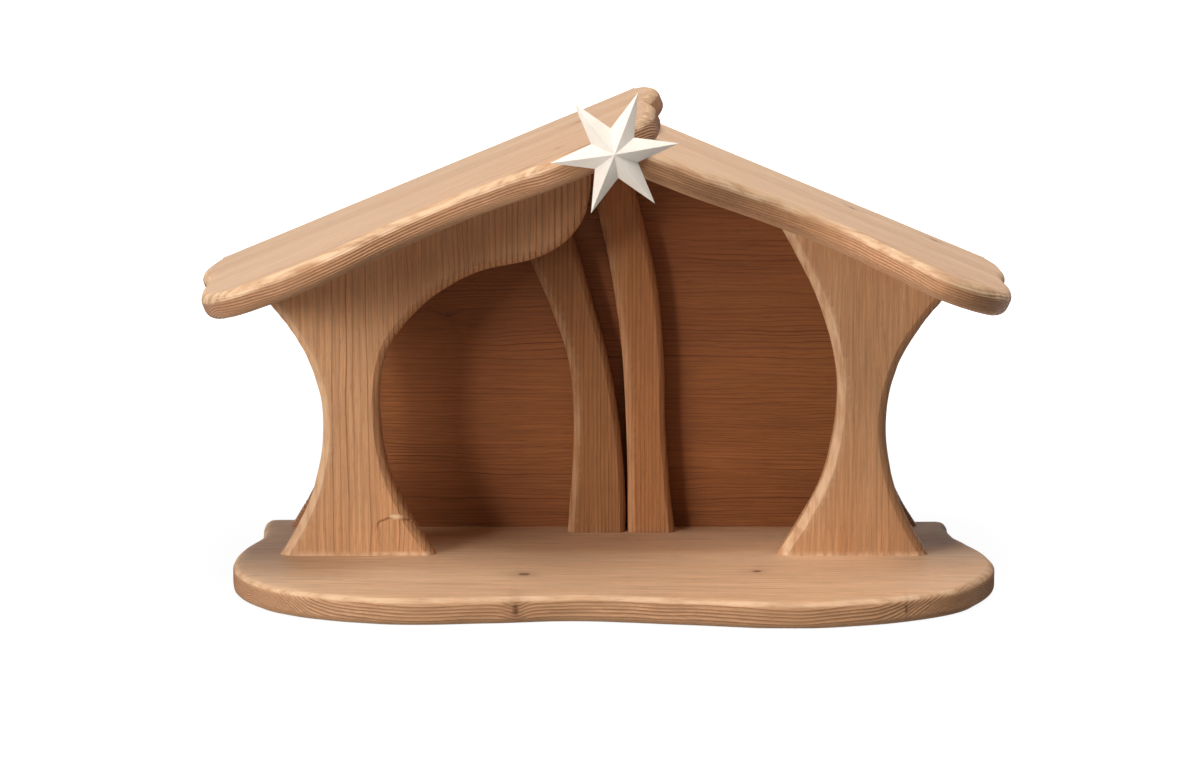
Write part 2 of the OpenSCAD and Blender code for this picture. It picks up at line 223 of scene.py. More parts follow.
def inset_outline(outline, share, inset):
    """An outline moved in along its arris; points of flat joints slide and keep their order."""
    ring = offset(outline, -share * inset)
    for start in np.flatnonzero((share == 0) & (np.roll(share, 1) > 0)):
        ids = [start]
        while share[ids[-1]] == 0:
            ids.append((ids[-1] + 1) % len(outline))
        run = outline[ids]
        t = np.concatenate([[0], np.cumsum(np.linalg.norm(np.diff(run, axis=0), axis=1))])[:, None]
        t /= t[-1]
        along = np.gradient(run, axis=0)
        along /= np.linalg.norm(along, axis=1)[:, None]
        moved = ring[ids[0]] - run[0], ring[ids[-1]] - run[-1]
        slide = (((1 - t) * moved[0] + t * moved[1]) * along).sum(1)[:, None]
        ring[ids[1:-1]] = (run + along * slide)[1:-1]
    return ring


def outward(outline):
    """Unit normals at the points of an outline."""
    along = np.roll(outline, -1, 0) - np.roll(outline, 1, 0)
    along /= np.linalg.norm(along, axis=1)[:, None]
    return np.stack([along[:, 1], -along[:, 0]], 1)


# Growth rings, knots and chips. A place is given along the grain, across it and up from the
# hidden face, and so are the sizes and wavelengths here.

# Wavelengths of the rings' slow and quick wander, and of the dips and bumps of a brushed surface
WANDER, WAVER = np.array([150, 38, 60.0]), np.array([42, 9, 14.0])
DIPS, BUMPS = np.array([30, 16, 10.0]), np.array([3, 1.5, 2.0])
# Depth of the dips along an edge and of the bumps in a knot
DIP_DEPTH, BUMP_DEPTH = 0.12, 0.22
# How far in from the front edge the rings follow it
FOLLOW_REACH = 32
# How many times its own size a knot bends the rings around it
KNOT_BEND = 3.2, 2.6, 4
# Strength of the halo around a knot's heart, and how slowly it fades
HALO, HALO_FADE = 0.3, 7
# Where in a ring, from 0 to 1, the wood is softest
SOFTEST = 0.28


def drift(places, waves, seed, terms=9):
    """Smooth seeded noise, about -1 to 1, with a wavelength for each axis, at each place."""
    rng = np.random.default_rng(SEED + seed)
    total = np.zeros(len(places))
    for k in range(terms):
        way = rng.normal(size=3)
        way /= np.linalg.norm(way)
        way *= rng.uniform(0.5, 1.6)
        total += np.sin(2 * math.pi * ((places / waves) @ way) + rng.uniform(0, 2 * math.pi))
    return total / math.sqrt(terms * 1.2)


def front_edge(outline, start, end):
    """An outline's front edge from start to end: places along it, and its depth there."""
    count, smoothing = 61, 7
    along = np.linspace(start, end, count)
    gap = along[1] - along[0]
    depth = [outline[abs(outline[:, 0] - x) < gap, 1].min() for x in along]
    padded = np.pad(depth, smoothing // 2, "edge")
    return along, np.convolve(padded, np.ones(smoothing) / smoothing, "valid")


def bent_across(places, wood):
    """Places across the grain, bent so that the rings follow the board's front edge near it."""
    across = places[:, 1]
    if "follow" not in wood:
        return across
    along, depths = wood["front"]
    edge = np.interp(places[:, 0], along, depths)
    near = np.exp(-(((across - edge) / FOLLOW_REACH) ** 2))
    return across - wood.get("bend", 1) * (edge - depths.mean()) * near


def ring_count(places, wood):
    """Growth rings from the pith to each place, and the ring spacing there."""
    seed = wood["seed"]
    radius = np.hypot(bent_across(places, wood) - wood["pith"][0], places[:, 2] - wood["pith"][1])
    radius = radius + wood["sway"] * drift(places, WANDER, seed)
    radius = radius + 0.25 * wood["sway"] * drift(places, WAVER, seed + 1)
    for place, size, lift in wood.get("knots", ()) + wood.get("flames", ()):
        reach = np.array(size) * KNOT_BEND
        radius = radius + lift * np.exp(-(((places - place) / reach) ** 2).sum(1))
    step, furthest = 0.1, 700
    table = np.arange(0, furthest, step)
    spacing = np.interp(table, *zip(*wood["spacing"]))
    wave = np.column_stack([table / wood["beat"]] * 3)
    spacing = spacing * np.exp(wood["vary"] * drift(wave, np.ones(3), seed + 5))
    rings = np.concatenate([[0], np.cumsum(step / spacing[:-1])])
    return np.interp(radius, table, rings), np.interp(radius, table, spacing)


def knot_core(places, wood):
    """From 0 to 1, how far each place lies in a knot's heart, with a faint halo around it."""
    core = np.zeros(len(places))
    for place, size, _ in wood.get("knots", ()):
        near = (((places - place) / size) ** 2).sum(1)
        heart, halo = np.exp(-(near**2)), HALO * np.exp(-near / HALO_FADE)
        core = np.maximum(core, np.maximum(heart, halo))
    return core


def chip_field(places, chip):
    """Distance in mm inside the rounded corner of a chipped area; negative outside."""
    along, across = places[:, 0], places[:, 1]
    inward = across - chip["left"] - 0.4 * np.sin(along * 0.9)
    below = chip["top"] - along - 0.5 * np.sin(across * 0.55) - 0.25 * np.sin(across * 1.7)
    radius = chip["corner"]
    rounded = radius - np.hypot(np.minimum(inward - radius, 0), np.minimum(below - radius, 0))
    return np.minimum(rounded, np.minimum(inward, below))


def chipped(places, front, chip):
    """Depth of a chipped area, its torn dark rim, and a smooth pale spot beside it."""
    deep = chip_field(places, chip)
    # Shallow at the foot and full from 12 mm above it, with the rim only near the top
    fade = np.clip((places[:, 0] - chip["along"][0]) / 12, 0.25, 1)
    depth = front * chip["depth"] * fade * np.clip(deep / 0.6, 0, 1)
    rim = np.exp(-(((deep - 0.1) / 0.4) ** 2))
    rim *= np.clip((places[:, 0] - chip["rim_from"]) / 4, 0, 1)
    off = (places[:, :2] - chip["spot"]) / chip["spot_size"]
    spot = front * np.exp(-((off**2).sum(1) ** 2))
    return depth, front * rim * 0.8, spot


# Board meshes


def make_mesh(name, verts, quads, triangles, rims=()):
    """A mesh object from arrays, linked to the scene, with smooth quads and flat triangles.

    Each rim is a (first, count) loop of vertices whose edges are creases.
    """
    mesh = bpy.data.meshes.new(name)
    loops = np.concatenate([quads.reshape(-1), triangles.reshape(-1)]).astype(np.int32)
    starts = np.concatenate([
        np.arange(len(quads)) * 4, len(quads) * 4 + np.arange(len(triangles)) * 3
    ]).astype(np.int32)
    mesh.vertices.add(len(verts))
    mesh.vertices.foreach_set("co", (verts * MM).astype(np.float32).reshape(-1))
    mesh.loops.add(len(loops))
    mesh.loops.foreach_set("vertex_index", loops)
    mesh.polygons.add(len(starts))
    mesh.polygons.foreach_set("loop_start", starts)
    mesh.update(calc_edges=True)
    mesh.polygons.foreach_set("use_smooth", np.arange(len(starts)) < len(quads))
    mesh.set_sharp_from_angle(angle=SHARP)
    crease_rims(mesh, rims)
    obj = bpy.data.objects.new(name, mesh)
    bpy.context.scene.collection.objects.link(obj)
    return obj


def crease_rims(mesh, rims):
    """Marks the edges of each (first, count) loop of vertices as sharp."""
    ends = np.empty(len(mesh.edges) * 2, np.int32)
    mesh.edges.foreach_get("vertices", ends)
    ends = np.sort(ends.reshape(-1, 2), axis=1)
    sharp = np.empty(len(mesh.edges), bool)
    mesh.attributes["sharp_edge"].data.foreach_get("value", sharp)
    for first, count in rims:
        on = (ends[:, 0] >= first) & (ends[:, 1] < first + count)
        sharp |= on & np.isin(ends[:, 1] - ends[:, 0], (1, count - 1))
    mesh.attributes["sharp_edge"].data.foreach_set("value", sharp)


def point_values(obj, values):
    """Stores named values on the mesh's vertices, for the shader."""
    for name, value in values.items():
        kind, slot = ("FLOAT_VECTOR", "vector") if value.ndim == 2 else ("FLOAT", "value")
        layer = obj.data.attributes.new(name, kind, "POINT")
        layer.data.foreach_set(slot, value.astype(np.float32).reshape(-1))


def patch_grid(lows, highs, steps):
    """Grid points of a rectangle, one row for each point."""
    u, v = (np.arange(lo, hi, step) for lo, hi, step in zip(lows, highs, steps))
    return np.stack(np.meshgrid(u, v), -1).reshape(-1, 2)


def scattered(rng, points, by):
    """Points moved at random, by that much at most on each axis."""
    return points + rng.uniform(-by, by, points.shape)


def face_points(rim, wood, along):
    """Scattered points for the inside of a flat face, closer at knots and chips."""
    rng = np.random.default_rng(SEED + wood["seed"])
    steps = FACE_STEPS if along == 0 else FACE_STEPS[::-1]
    grid = patch_grid(rim.min(0), rim.max(0), steps)
    groups = [scattered(rng, grid, FACE_SHIFT)]
    for place, size, _ in wood.get("knots", ()):
        reach = np.maximum(KNOT_PATCH, KNOT_PATCH_SIZES * np.array(size[:2]))
        near = patch_grid(-reach, reach, KNOT_STEPS) + place[:2]
        near = near if along == 0 else near[:, ::-1]
        groups.append(scattered(rng, near, KNOT_SHIFT))
    if "chip" in wood:
        lows, highs = zip(wood["chip"]["across"], wood["chip"]["along"])
        groups.append(scattered(rng, patch_grid(lows, highs, CHIP_STEPS), CHIP_SHIFT))
    points = np.concatenate(groups)
    return points[inside(points, rim, RIM_MARGIN)]


def cap_fill(rim, wood, along):
    """Inner points of a flat face and its triangles; the rim's points come first."""
    pts = face_points(rim, wood, along)
    count = len(rim)
    both = [Vector(v) for v in np.concatenate([rim, pts]).tolist()]
    only_inside, weld = 1, 1e-5
    face = [list(range(count))]
    out, _, tris, source, _, _ = delaunay_2d_cdt(both, [], face, only_inside, weld)
    ids = np.array([s[0] if s else -1 for s in source])
    made = np.flatnonzero(ids < 0)
    ids[made] = count + len(pts) + np.arange(len(made))
    pts = np.concatenate([pts, np.array([out[k] for k in made]).reshape(-1, 2)])
    tris = ids[np.array(tris)]
    used = np.unique(tris[tris >= count])
    place = np.full(count + len(pts), -1)
    place[:count] = np.arange(count)
    place[used] = count + np.arange(len(used))
    return pts[used - count], place[tris]


def inside(pts, rim, margin):
    """Whether points lie in an outline, further than margin from its vertices."""
    odd = np.zeros(len(pts), bool)
    near = np.zeros(len(pts), bool)
    for a, b in zip(rim, np.roll(rim, -1, 0)):
        spans = (a[1] > pts[:, 1]) != (b[1] > pts[:, 1])
        if spans.any():
            x = a[0] + (pts[spans, 1] - a[1]) / (b[1] - a[1]) * (b[0] - a[0])
            odd[spans] ^= pts[spans, 0] < x
        near |= (abs(pts[:, 0] - a[0]) < margin) & (abs(pts[:, 1] - a[1]) < margin)
    return odd & ~near


def edge_profile(thickness, radius, crease, arris_steps):
    """Rows over an edge, from the hidden face up: (inset, height, share of the normal up)."""
    arris = [
        (
            radius * (1 - math.sin(x)) / (1 - math.sin(crease)),
            radius * (1 - math.cos(x) / math.cos(crease)),
            math.cos(x),
        )
        for x in np.linspace(crease, math.pi / 2, arris_steps + 1)
    ]
    wall_rows = max(2, round((thickness - 2 * radius) / WALL_STEP) + 1)
    wall = np.linspace(radius, thickness - radius, wall_rows)[1:-1]
    return (
        [(inset, drop, -up) for inset, drop, up in arris]
        + [(0.0, height, 0.0) for height in wall]
        + [(inset, thickness - drop, up) for inset, drop, up in arris[::-1]]
    )


def lean_rings(rings, profile, cad):
    """Leans the low end of a board's rings as its plumb cut at the ridge leans."""
    thickness = cad["high"] - cad["low"]
    start = cad["outline"][:, 0].min()
    for ring, (_, height, _) in zip(rings, profile):
        cut = cad["lean"] * height / thickness - cad["lean"]
        ring[:, 0] += cut * np.clip(1 - (ring[:, 0] - start) / LEAN_REACH, 0, 1)


class Shell:
    """A smooth board before its relief: rows around its edge, and two flat faces."""

    def __init__(self, cad, wood):
        self.cad = cad
        # Number of the axis that the grain follows
        self.along = 0 if wood["grain"] == "a" else 1
        grain = np.array([1.0, 0]) if self.along == 0 else np.array([0.0, 1])
        self.outline, self.share = smooth_outline(cad["outline"], cad["shares"], grain)
        self.profile = edge_profile(
            cad["high"] - cad["low"], cad["radius"] * wood.get("rounder", 1),
            math.radians(wood.get("crease", 0)), wood.get("arris_steps", ARRIS_STEPS),
        )
        self.ups = [up for _, _, up in self.profile]
        self.count, self.levels = len(self.outline), len(self.profile)
        rings = [inset_outline(self.outline, self.share, inset) for inset, _, _ in self.profile]
        if cad["lean"] > LEAST_LEAN:
            lean_rings(rings, self.profile, cad)
        self.sweep(rings)
        self.close(rings, wood)

    def sweep(self, rings):
        """Points, outward normals and faces of the edge, row by row."""
        low, count = self.cad["low"], self.count
        self.verts = np.concatenate([
            np.column_stack([ring, np.full(count, low + height)])
            for ring, (_, height, _) in zip(rings, self.profile)
        ])
        up = np.repeat(self.ups, count)
        level = np.tile(outward(self.outline), (self.levels, 1)) * np.sqrt(1 - up**2)[:, None]
        self.outs = np.column_stack([level, up])
        i = np.arange(count)
        j = (i + 1) % count
        self.quads = np.concatenate([
            np.stack([k * count + i, k * count + j, (k + 1) * count + j, (k + 1) * count + i], 1)
            for k in range(self.levels - 1)
        ])

    def close(self, rings, wood):
        """Adds the hidden face and the face that shows."""
        self.last_row = (self.levels - 1) * self.count
        triangles = []
        for ring, height, up, first in (
            (rings[0], self.cad["low"], -1, 0), (rings[-1], self.cad["high"], 1, self.last_row)
        ):
            pts, tris = cap_fill(ring, wood, self.along)
            inner = tris - self.count + len(self.verts)
            tris = np.where(tris < self.count, tris + first, inner)
            triangles.append(tris if up > 0 else tris[:, ::-1])
            face = np.column_stack([pts, np.full(len(pts), height)])
            self.verts = np.concatenate([self.verts, face])
            self.outs = np.concatenate([self.outs, np.tile([0, 0, up], (len(pts), 1))])
        self.triangles = np.concatenate(triangles)

    def grain_places(self):
        """The points along the grain, across it, and up from the hidden face."""
        height = self.verts[:, 2] - self.cad["low"]
        return np.stack([self.verts[:, self.along], self.verts[:, 1 - self.along], height], 1)

    def on_edge(self, per_row):
        """A value for each row of the edge; 0 on its flat joints and on the two faces."""
        values = np.zeros(len(self.verts))
        edge = np.tile(self.share, self.levels) * np.repeat(per_row, self.count)
        values[: len(edge)] = edge
        return values


def groove_depth(places, shell, wood, rings, spacing, core):
    """How deep brushing has cut each point: soft wood between rings, dips, and around knots."""
    # The cut fades towards both faces, is deepest on end grain, and skips rings that lie close
    rise = [math.sin(math.pi * (k / (shell.levels - 1))) for k in range(shell.levels)]
    on_side = shell.on_edge([0.15 + 0.85 * r**0.4 for r in rise])
    end = np.abs(shell.outs[:, shell.along])
    soft = (0.5 + 0.5 * np.cos(2 * math.pi * (rings % 1 - SOFTEST))) ** 1.4
    wide = np.clip((spacing - 0.35) / 0.5, 0, 1)
    depth = wood["relief"] * soft * on_side * (0.35 + 0.65 * end**0.6) * wide
    depth += on_side * DIP_DEPTH * (1 + drift(places, DIPS, wood["seed"] + 2))
    raised = drift(places, BUMPS, wood["seed"] + 3) > 0
    return depth + BUMP_DEPTH * core * np.where(raised, -1, 1)


# Where the pale band of an upper arris starts, as the share of its normal that points up: partly
# wear and partly a painted highlight on the arris that faces up towards the lamps
WEAR_AND_HIGHLIGHT_FROM = {"base": 0.55, "roof": 0.3}
# How pale the arrises are that face left, on upright boards: a painted highlight on the side the
# key light comes from
LEFT_PAINTED_HIGHLIGHT = {"panel": 0.8, "post": 0.25, "wall": 0}


def wear_and_highlight_of(shell, verts, look):
    """How pale each point of a board is: wear with a painted highlight on upper arrises, a painted
    highlight on arrises that face left, and bare wood at a panel's foot.
    """
    if look in WEAR_AND_HIGHLIGHT_FROM:
        # Upper arris: partly real wear, partly a painted highlight where the arris faces up
        start = WEAR_AND_HIGHLIGHT_FROM[look]
        return shell.on_edge(np.interp(shell.ups, [start - 0.2, start, 0.93, 1], [0, 1, 1, 0.2]))
    arris = shell.on_edge([float(0.1 < up < 0.97) for up in shell.ups])
    # Painted highlight: arrises that face left, towards the key light, are paler
    wear_and_highlight = LEFT_PAINTED_HIGHLIGHT[look] * arris * np.clip(-1.6 * shell.outs[:, 0], 0, 1)
    if look == "panel":
        # A strip of bare wood, about 2 mm high, along the panel's foot
        foot = verts[:, 1] - shell.cad["outline"][:, 1].min()
        strip = np.exp(-((foot / 1.9) ** 6)) * (shell.outs[:, 2] > 0.5)
        wear_and_highlight = np.maximum(wear_and_highlight, 1.3 * strip)
    return wear_and_highlight


def wooden_board(node, wood, material):
    """Rebuilds a CAD board as a fine brushed-wood mesh, which stands for that node."""
    cad = cad_board(node)
    shell = Shell(cad, wood)
    if "follow" in wood:
        wood = dict(wood, front=front_edge(shell.outline, *wood["follow"]))
    places = shell.grain_places()
    rings, spacing = ring_count(places, wood)
    core = knot_core(places, wood)
    depth = groove_depth(places, shell, wood, rings, spacing, core)
    spot = np.zeros(len(places))
    if "chip" in wood:
        dent, rim, spot = chipped(places, shell.outs[:, 2] > 0.2, wood["chip"])
        depth = (depth + dent) * (1 - spot)
        core = np.maximum(core, rim) * (1 - spot)
    verts = shell.verts - shell.outs * np.clip(depth, 0, None)[:, None]
    verts[:, :2] = np.clip(verts[:, :2], cad["outline"].min(0), cad["outline"].max(0))

    creased = ((0, shell.count), (shell.last_row, shell.count)) if "crease" in wood else ()
    world = verts @ np.stack(cad["axes"], 0)
    obj = make_mesh("wood_" + node, world, shell.quads, shell.triangles, creased)
    point_values(obj, {
        "ring": rings, "fibre": places, "knot": core,
        "end": np.abs(shell.outs[:, shell.along]),
        "side": np.sqrt(1 - shell.outs[:, 2] ** 2),
        # Pale wear with a painted highlight on the arrises, and the pale spot beside a chip
        "wear_and_highlight": np.maximum(wear_and_highlight_of(shell, verts, wood["look"]), 4 * spot),
        "shade": np.full(len(places), wood.get("shade", 1.0)),
        "bold": np.full(len(places), wood.get("bold", 1.0)),
    })
    obj.data.materials.append(material)
    return fit_out(obj, node)


def fit_out(obj, node):
    """Makes obj ride on its CAD node's body and stand for that node."""
    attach(obj, frame["nodes"][node]["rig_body"])
    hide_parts(node)
    return obj


# Materials


class Nodes:
    """Short calls that add shader nodes to a new material."""

    def __init__(self, name):
        self.material = bpy.data.materials.new(name)
        self.material.use_nodes = True
        self.tree = self.material.node_tree
        self.shader = self.tree.nodes["Principled BSDF"]

    def put(self, socket, value):
        """Links another node's output to an input, or sets a constant there."""
        if isinstance(value, bpy.types.NodeSocket):
            self.tree.links.new(value, socket)
        else:
            socket.default_value = value

    def add(self, kind, out=0, inputs=(), **settings):
        """Adds a node with its inputs and settings, and returns one of its outputs."""
        node = self.tree.nodes.new("ShaderNode" + kind)
        for key, value in settings.items():
            setattr(node, key, value)
        for key, value in dict(inputs).items():
            self.put(node.inputs[key], value)
        return node.outputs[out]

    def maths(self, operation, a, b=0.0, clamp=False):
        return self.add("Math", inputs={0: a, 1: b}, operation=operation, use_clamp=clamp)

    def times(self, a, b):
        return self.maths("MULTIPLY", a, b)

    def value(self, name):
        return self.add("Attribute", "Fac", attribute_name=name)

    def vector(self, name):
        return self.add("Attribute", "Vector", attribute_name=name)

    def noise(self, vector, stretch, detail=2.0, roughness=0.5):
        """Noise with stretch waves in each unit of the vector's axes."""
        place = self.add("VectorMath", inputs={0: vector, 1: stretch}, operation="MULTIPLY")
        return self.add("TexNoise", "Fac", {
            "Vector": place, "Scale": 1.0, "Detail": detail, "Roughness": roughness
        })

    def span(self, value, low, high, to_low=0.0, to_high=1.0, smooth=False):
        """The value from low to high, mapped to the range from to_low to to_high."""
        return self.add("MapRange", inputs={
            0: value, 1: low, 2: high, 3: to_low, 4: to_high
        }, interpolation_type="SMOOTHSTEP" if smooth else "LINEAR")

    def mix(self, factor, a, b, blend="MIX"):
        """Colour a where the factor is 0 and b where it is 1."""
        node = self.tree.nodes.new("ShaderNodeMix")
        node.data_type = "RGBA"
        node.blend_type = blend
        for socket, value in zip([node.inputs[0], node.inputs[6], node.inputs[7]], (factor, a, b)):
            self.put(socket, value)
        return node.outputs[2]

    def curve(self, value, points):
        """A smooth curve through (position, value) points."""
        node = self.tree.nodes.new("ShaderNodeValToRGB")
        ramp = node.color_ramp
        ramp.interpolation = "EASE"
        while len(ramp.elements) < len(points):
            ramp.elements.new(0.5)
        for element, (at, level) in zip(ramp.elements, points):
            element.position = at
            element.color = (level, level, level, 1)
        self.put(node.inputs[0], value)
        return node.outputs[0]

    def bump(self, height, strength, depth_mm):
        return self.add("Bump", inputs={
            "Strength": strength, "Distance": depth_mm * MM, "Height": height
        })

    def finish(self, **inputs):
        """Sets the shader's inputs, with _ for a space in a name, and returns the material."""
        for key, value in inputs.items():
            self.put(self.shader.inputs[key.replace("_", " ")], value)
        return self.material


def srgb(r, g, b):
    """A colour given in display values from 0 to 255."""
    return tuple(
        (c / 12.92 if c <= 0.04045 else ((c + 0.055) / 1.055) ** 2.4)
        for c in (r / 255, g / 255, b / 255)
    ) + (1.0,)


# Noise in wood: waves per mm along the grain, across it and through the thickness
WOBBLES = 0.03, 0.6, 0.6
PATCHES = 0.008, 0.05, 0.05
STREAKS = 0.035, 0.85, 0.85
TONES = 0.004, 0.045, 0.03
DASHES = 0.14, 3.0, 3.0
# Mottle of the pale wear and its painted highlight
RUB_AND_HIGHLIGHT_PATCHES = 0.06, 0.3, 0.3

# Darkness through one growth ring, from its soft early wood to its hard late wood
RING_PROFILE = (0.0, 0.15), (0.3, 0.0), (0.72, 0.1), (0.9, 1.0), (0.97, 0.75), (1.0, 0.2)


def late_wood(nodes, look, fibre, streak, end):
    """The dark late-wood lines: weaker in some patches, broken by streaks, faded by wear and the
    painted highlight.
    """
    ring = nodes.maths("ADD", nodes.value("ring"), nodes.times(nodes.noise(fibre, WOBBLES), 0.35))
    late = nodes.curve(nodes.maths("FRACT", ring), RING_PROFILE)
    number = nodes.maths("FLOOR", ring)
    each = nodes.add("TexWhiteNoise", "Value", {"W": number}, noise_dimensions="1D")
    each = nodes.span(each, 0, 1, 0.35, 1.0)
    patch = nodes.span(nodes.noise(fibre, PATCHES), 0.3, 0.7, look["lines_low"], look["lines_high"])
    patch = nodes.maths("ADD", patch, nodes.times(nodes.value("side"), look["side_lines"]))
    patch = nodes.times(patch, nodes.value("bold"))
    broken = nodes.span(streak, 0.3, 0.6, 0.6, 1.1)
    strength = nodes.times(nodes.times(each, patch), broken)
    strength = nodes.maths("ADD", strength, nodes.times(end, look["end_lines"]))
    plain = nodes.span(nodes.value("wear_and_highlight"), 0.15, 0.9, 1.0, 0.25)
    return nodes.maths("MULTIPLY", late, nodes.times(strength, plain), clamp=True)


def stained(nodes, look, fibre, streak, end, line, dash):
    """The stain over light and warm wood, with its edge colour (partly painted shade), lines,
    fibres, end grain, wear with a painted highlight, and knots.
    """
    tone = nodes.span(nodes.noise(fibre, TONES, detail=3), 0.32, 0.68)
    colour = nodes.mix(tone, look["light"], look["warm"])
    # Edges are darker and warmer than the faces; this is partly painted light: shade on the edges
    # and sheen on the paler faces.
    colour = nodes.mix(nodes.times(nodes.value("side"), look["side_tint"]), colour, look["side"])
    colour = nodes.mix(line, colour, look["dark"])
    fine = nodes.span(streak, 0.25, 0.75, 1.0 - look["fibre"], 1.0 + look["fibre"])
    colour = nodes.mix(1.0, colour, nodes.times(fine, nodes.value("shade")), "MULTIPLY")
    colour = nodes.mix(dash, colour, look["dark"])
    colour = nodes.mix(nodes.times(end, look["end_tint"]), colour, look["end"])
    # Paler, mottled stain on worn places, which also stands for a painted highlight on arrises that
    # face the light
    rub_and_highlight = nodes.span(nodes.noise(fibre, RUB_AND_HIGHLIGHT_PATCHES, detail=3), 0.35, 0.62, 0.1, 1.0)
    rub_and_highlight = nodes.times(nodes.times(nodes.value("wear_and_highlight"), rub_and_highlight), look["wear_and_highlight_mix"])
    colour = nodes.mix(rub_and_highlight, colour, look["pale"])
    return nodes.mix(nodes.times(nodes.value("knot"), 0.85), colour, look["knot"])


def brushed_wood(name, look):
    """Stained and brushed softwood, drawn from the board's own rings and fibres."""
    nodes = Nodes(name)
    fibre, end = nodes.vector("fibre"), nodes.value("end")
    streak = nodes.noise(fibre, STREAKS, detail=4, roughness=0.62)
    line = late_wood(nodes, look, fibre, streak, end)
    dash = nodes.span(nodes.noise(fibre, DASHES, detail=1), 0.6, 0.72, 0, look["dashes"])
    height = nodes.maths("ADD", nodes.times(line, 0.5), nodes.times(streak, 0.5))
    height = nodes.maths("SUBTRACT", height, dash)
    rough = nodes.maths("ADD", nodes.span(streak, 0.2, 0.8, 0.5, 0.66), nodes.times(line, 0.08))
    return nodes.finish(
        Base_Color=stained(nodes, look, fibre, streak, end, line, dash), Roughness=rough,
        Normal=nodes.bump(height, 0.55, look["bump"]), Specular_IOR_Level=look["gloss"],
    )


# Pale is the colour of worn places and of the painted highlight on arrises; the wear setting says
# how far it is mixed in.
PLAIN = {
    "light": srgb(219, 180, 143), "warm": srgb(208, 163, 125), "dark": srgb(132, 80, 48),
    "pale": srgb(232, 196, 158), "end": srgb(168, 122, 88), "knot": srgb(92, 50, 28),
    "side": srgb(184, 137, 98), "side_tint": 0.85, "side_lines": 0.9,
    "lines_low": 0.3, "lines_high": 0.75, "end_lines": 0.85, "end_tint": 0.35,
    "fibre": 0.23, "dashes": 0.3, "wear_and_highlight_mix": 0.6, "bump": 0.25, "gloss": 0.32,
}
# The colours and lines of each kind of board, as changes to the plain one
LOOKS = {
    "base": dict(PLAIN, lines_low=0.2, lines_high=0.5, side_lines=0.6, gloss=0.2),
    "roof": dict(
        PLAIN, side=srgb(186, 132, 90), dark=srgb(128, 74, 40), lines_low=0.15, lines_high=0.45,
        side_lines=0.45, end_lines=0.8, wear_and_highlight_mix=0.75,
    ),
    "panel": dict(
        PLAIN, light=srgb(204, 154, 110), warm=srgb(192, 139, 95), dark=srgb(130, 72, 36),
        lines_low=0.35, lines_high=0.9, side_lines=0.1, side_tint=0.2, fibre=0.26, dashes=0.35,
        bump=0.15,
    ),
    "post": dict(
        PLAIN, light=srgb(178, 122, 78), warm=srgb(166, 110, 68), dark=srgb(98, 54, 28),
        side_lines=0.1, side_tint=0.2, gloss=0.14,
    ),
    "wall": dict(
        PLAIN, light=srgb(155, 94, 52), warm=srgb(140, 82, 44), dark=srgb(72, 33, 16),
        lines_low=0.2, lines_high=1.0, side_lines=0.1, side_tint=0.2, fibre=0.26, gloss=0.22,
    ),
}


def beech():
    """Pale close-grained dowel wood with short dark flecks."""
    nodes = Nodes("beech")
    fleck = nodes.noise(nodes.add("TexCoord", "Object"), (900, 900, 160))
    colour = nodes.mix(nodes.span(fleck, 0.5, 0.68), srgb(222, 187, 146), srgb(186, 142, 100))
    return nodes.finish(
        Base_Color=colour, Roughness=nodes.span(fleck, 0.3, 0.7, 0.5, 0.65),
        Normal=nodes.bump(fleck, 0.4, 0.1),
    )


def pin_steel():
    """Drawn steel wire with fine lines along it."""
    nodes = Nodes("pin_steel")
    drawn = nodes.noise(nodes.add("TexCoord", "Object"), (2600, 60, 2600), detail=3)
    return nodes.finish(
        Base_Color=nodes.mix(drawn, srgb(150, 150, 152), srgb(206, 206, 208)), Metallic=1.0,
        Roughness=nodes.span(drawn, 0.3, 0.7, 0.22, 0.4), Normal=nodes.bump(drawn, 0.3, 0.03),
    )


def star_paint():
    """Off-white matt paint over carved wood, with brush marks and faint clouds."""
    nodes = Nodes("star_paint")
    place = nodes.add("TexCoord", "Object")
    brush = nodes.noise(place, (900, 900, 260), detail=4, roughness=0.6)
    cloud = nodes.noise(place, (90, 90, 90), detail=3)
    colour = nodes.mix(nodes.span(cloud, 0.3, 0.7), srgb(243, 232, 219), srgb(234, 221, 206))
    colour = nodes.mix(nodes.span(brush, 0.55, 0.75, 0, 0.35), colour, srgb(217, 199, 181))
    return nodes.finish(
        Base_Color=colour, Roughness=nodes.span(brush, 0.3, 0.7, 0.5, 0.68),
        Normal=nodes.bump(brush, 0.5, 0.09), Specular_IOR_Level=0.35,
    )


# Pieces

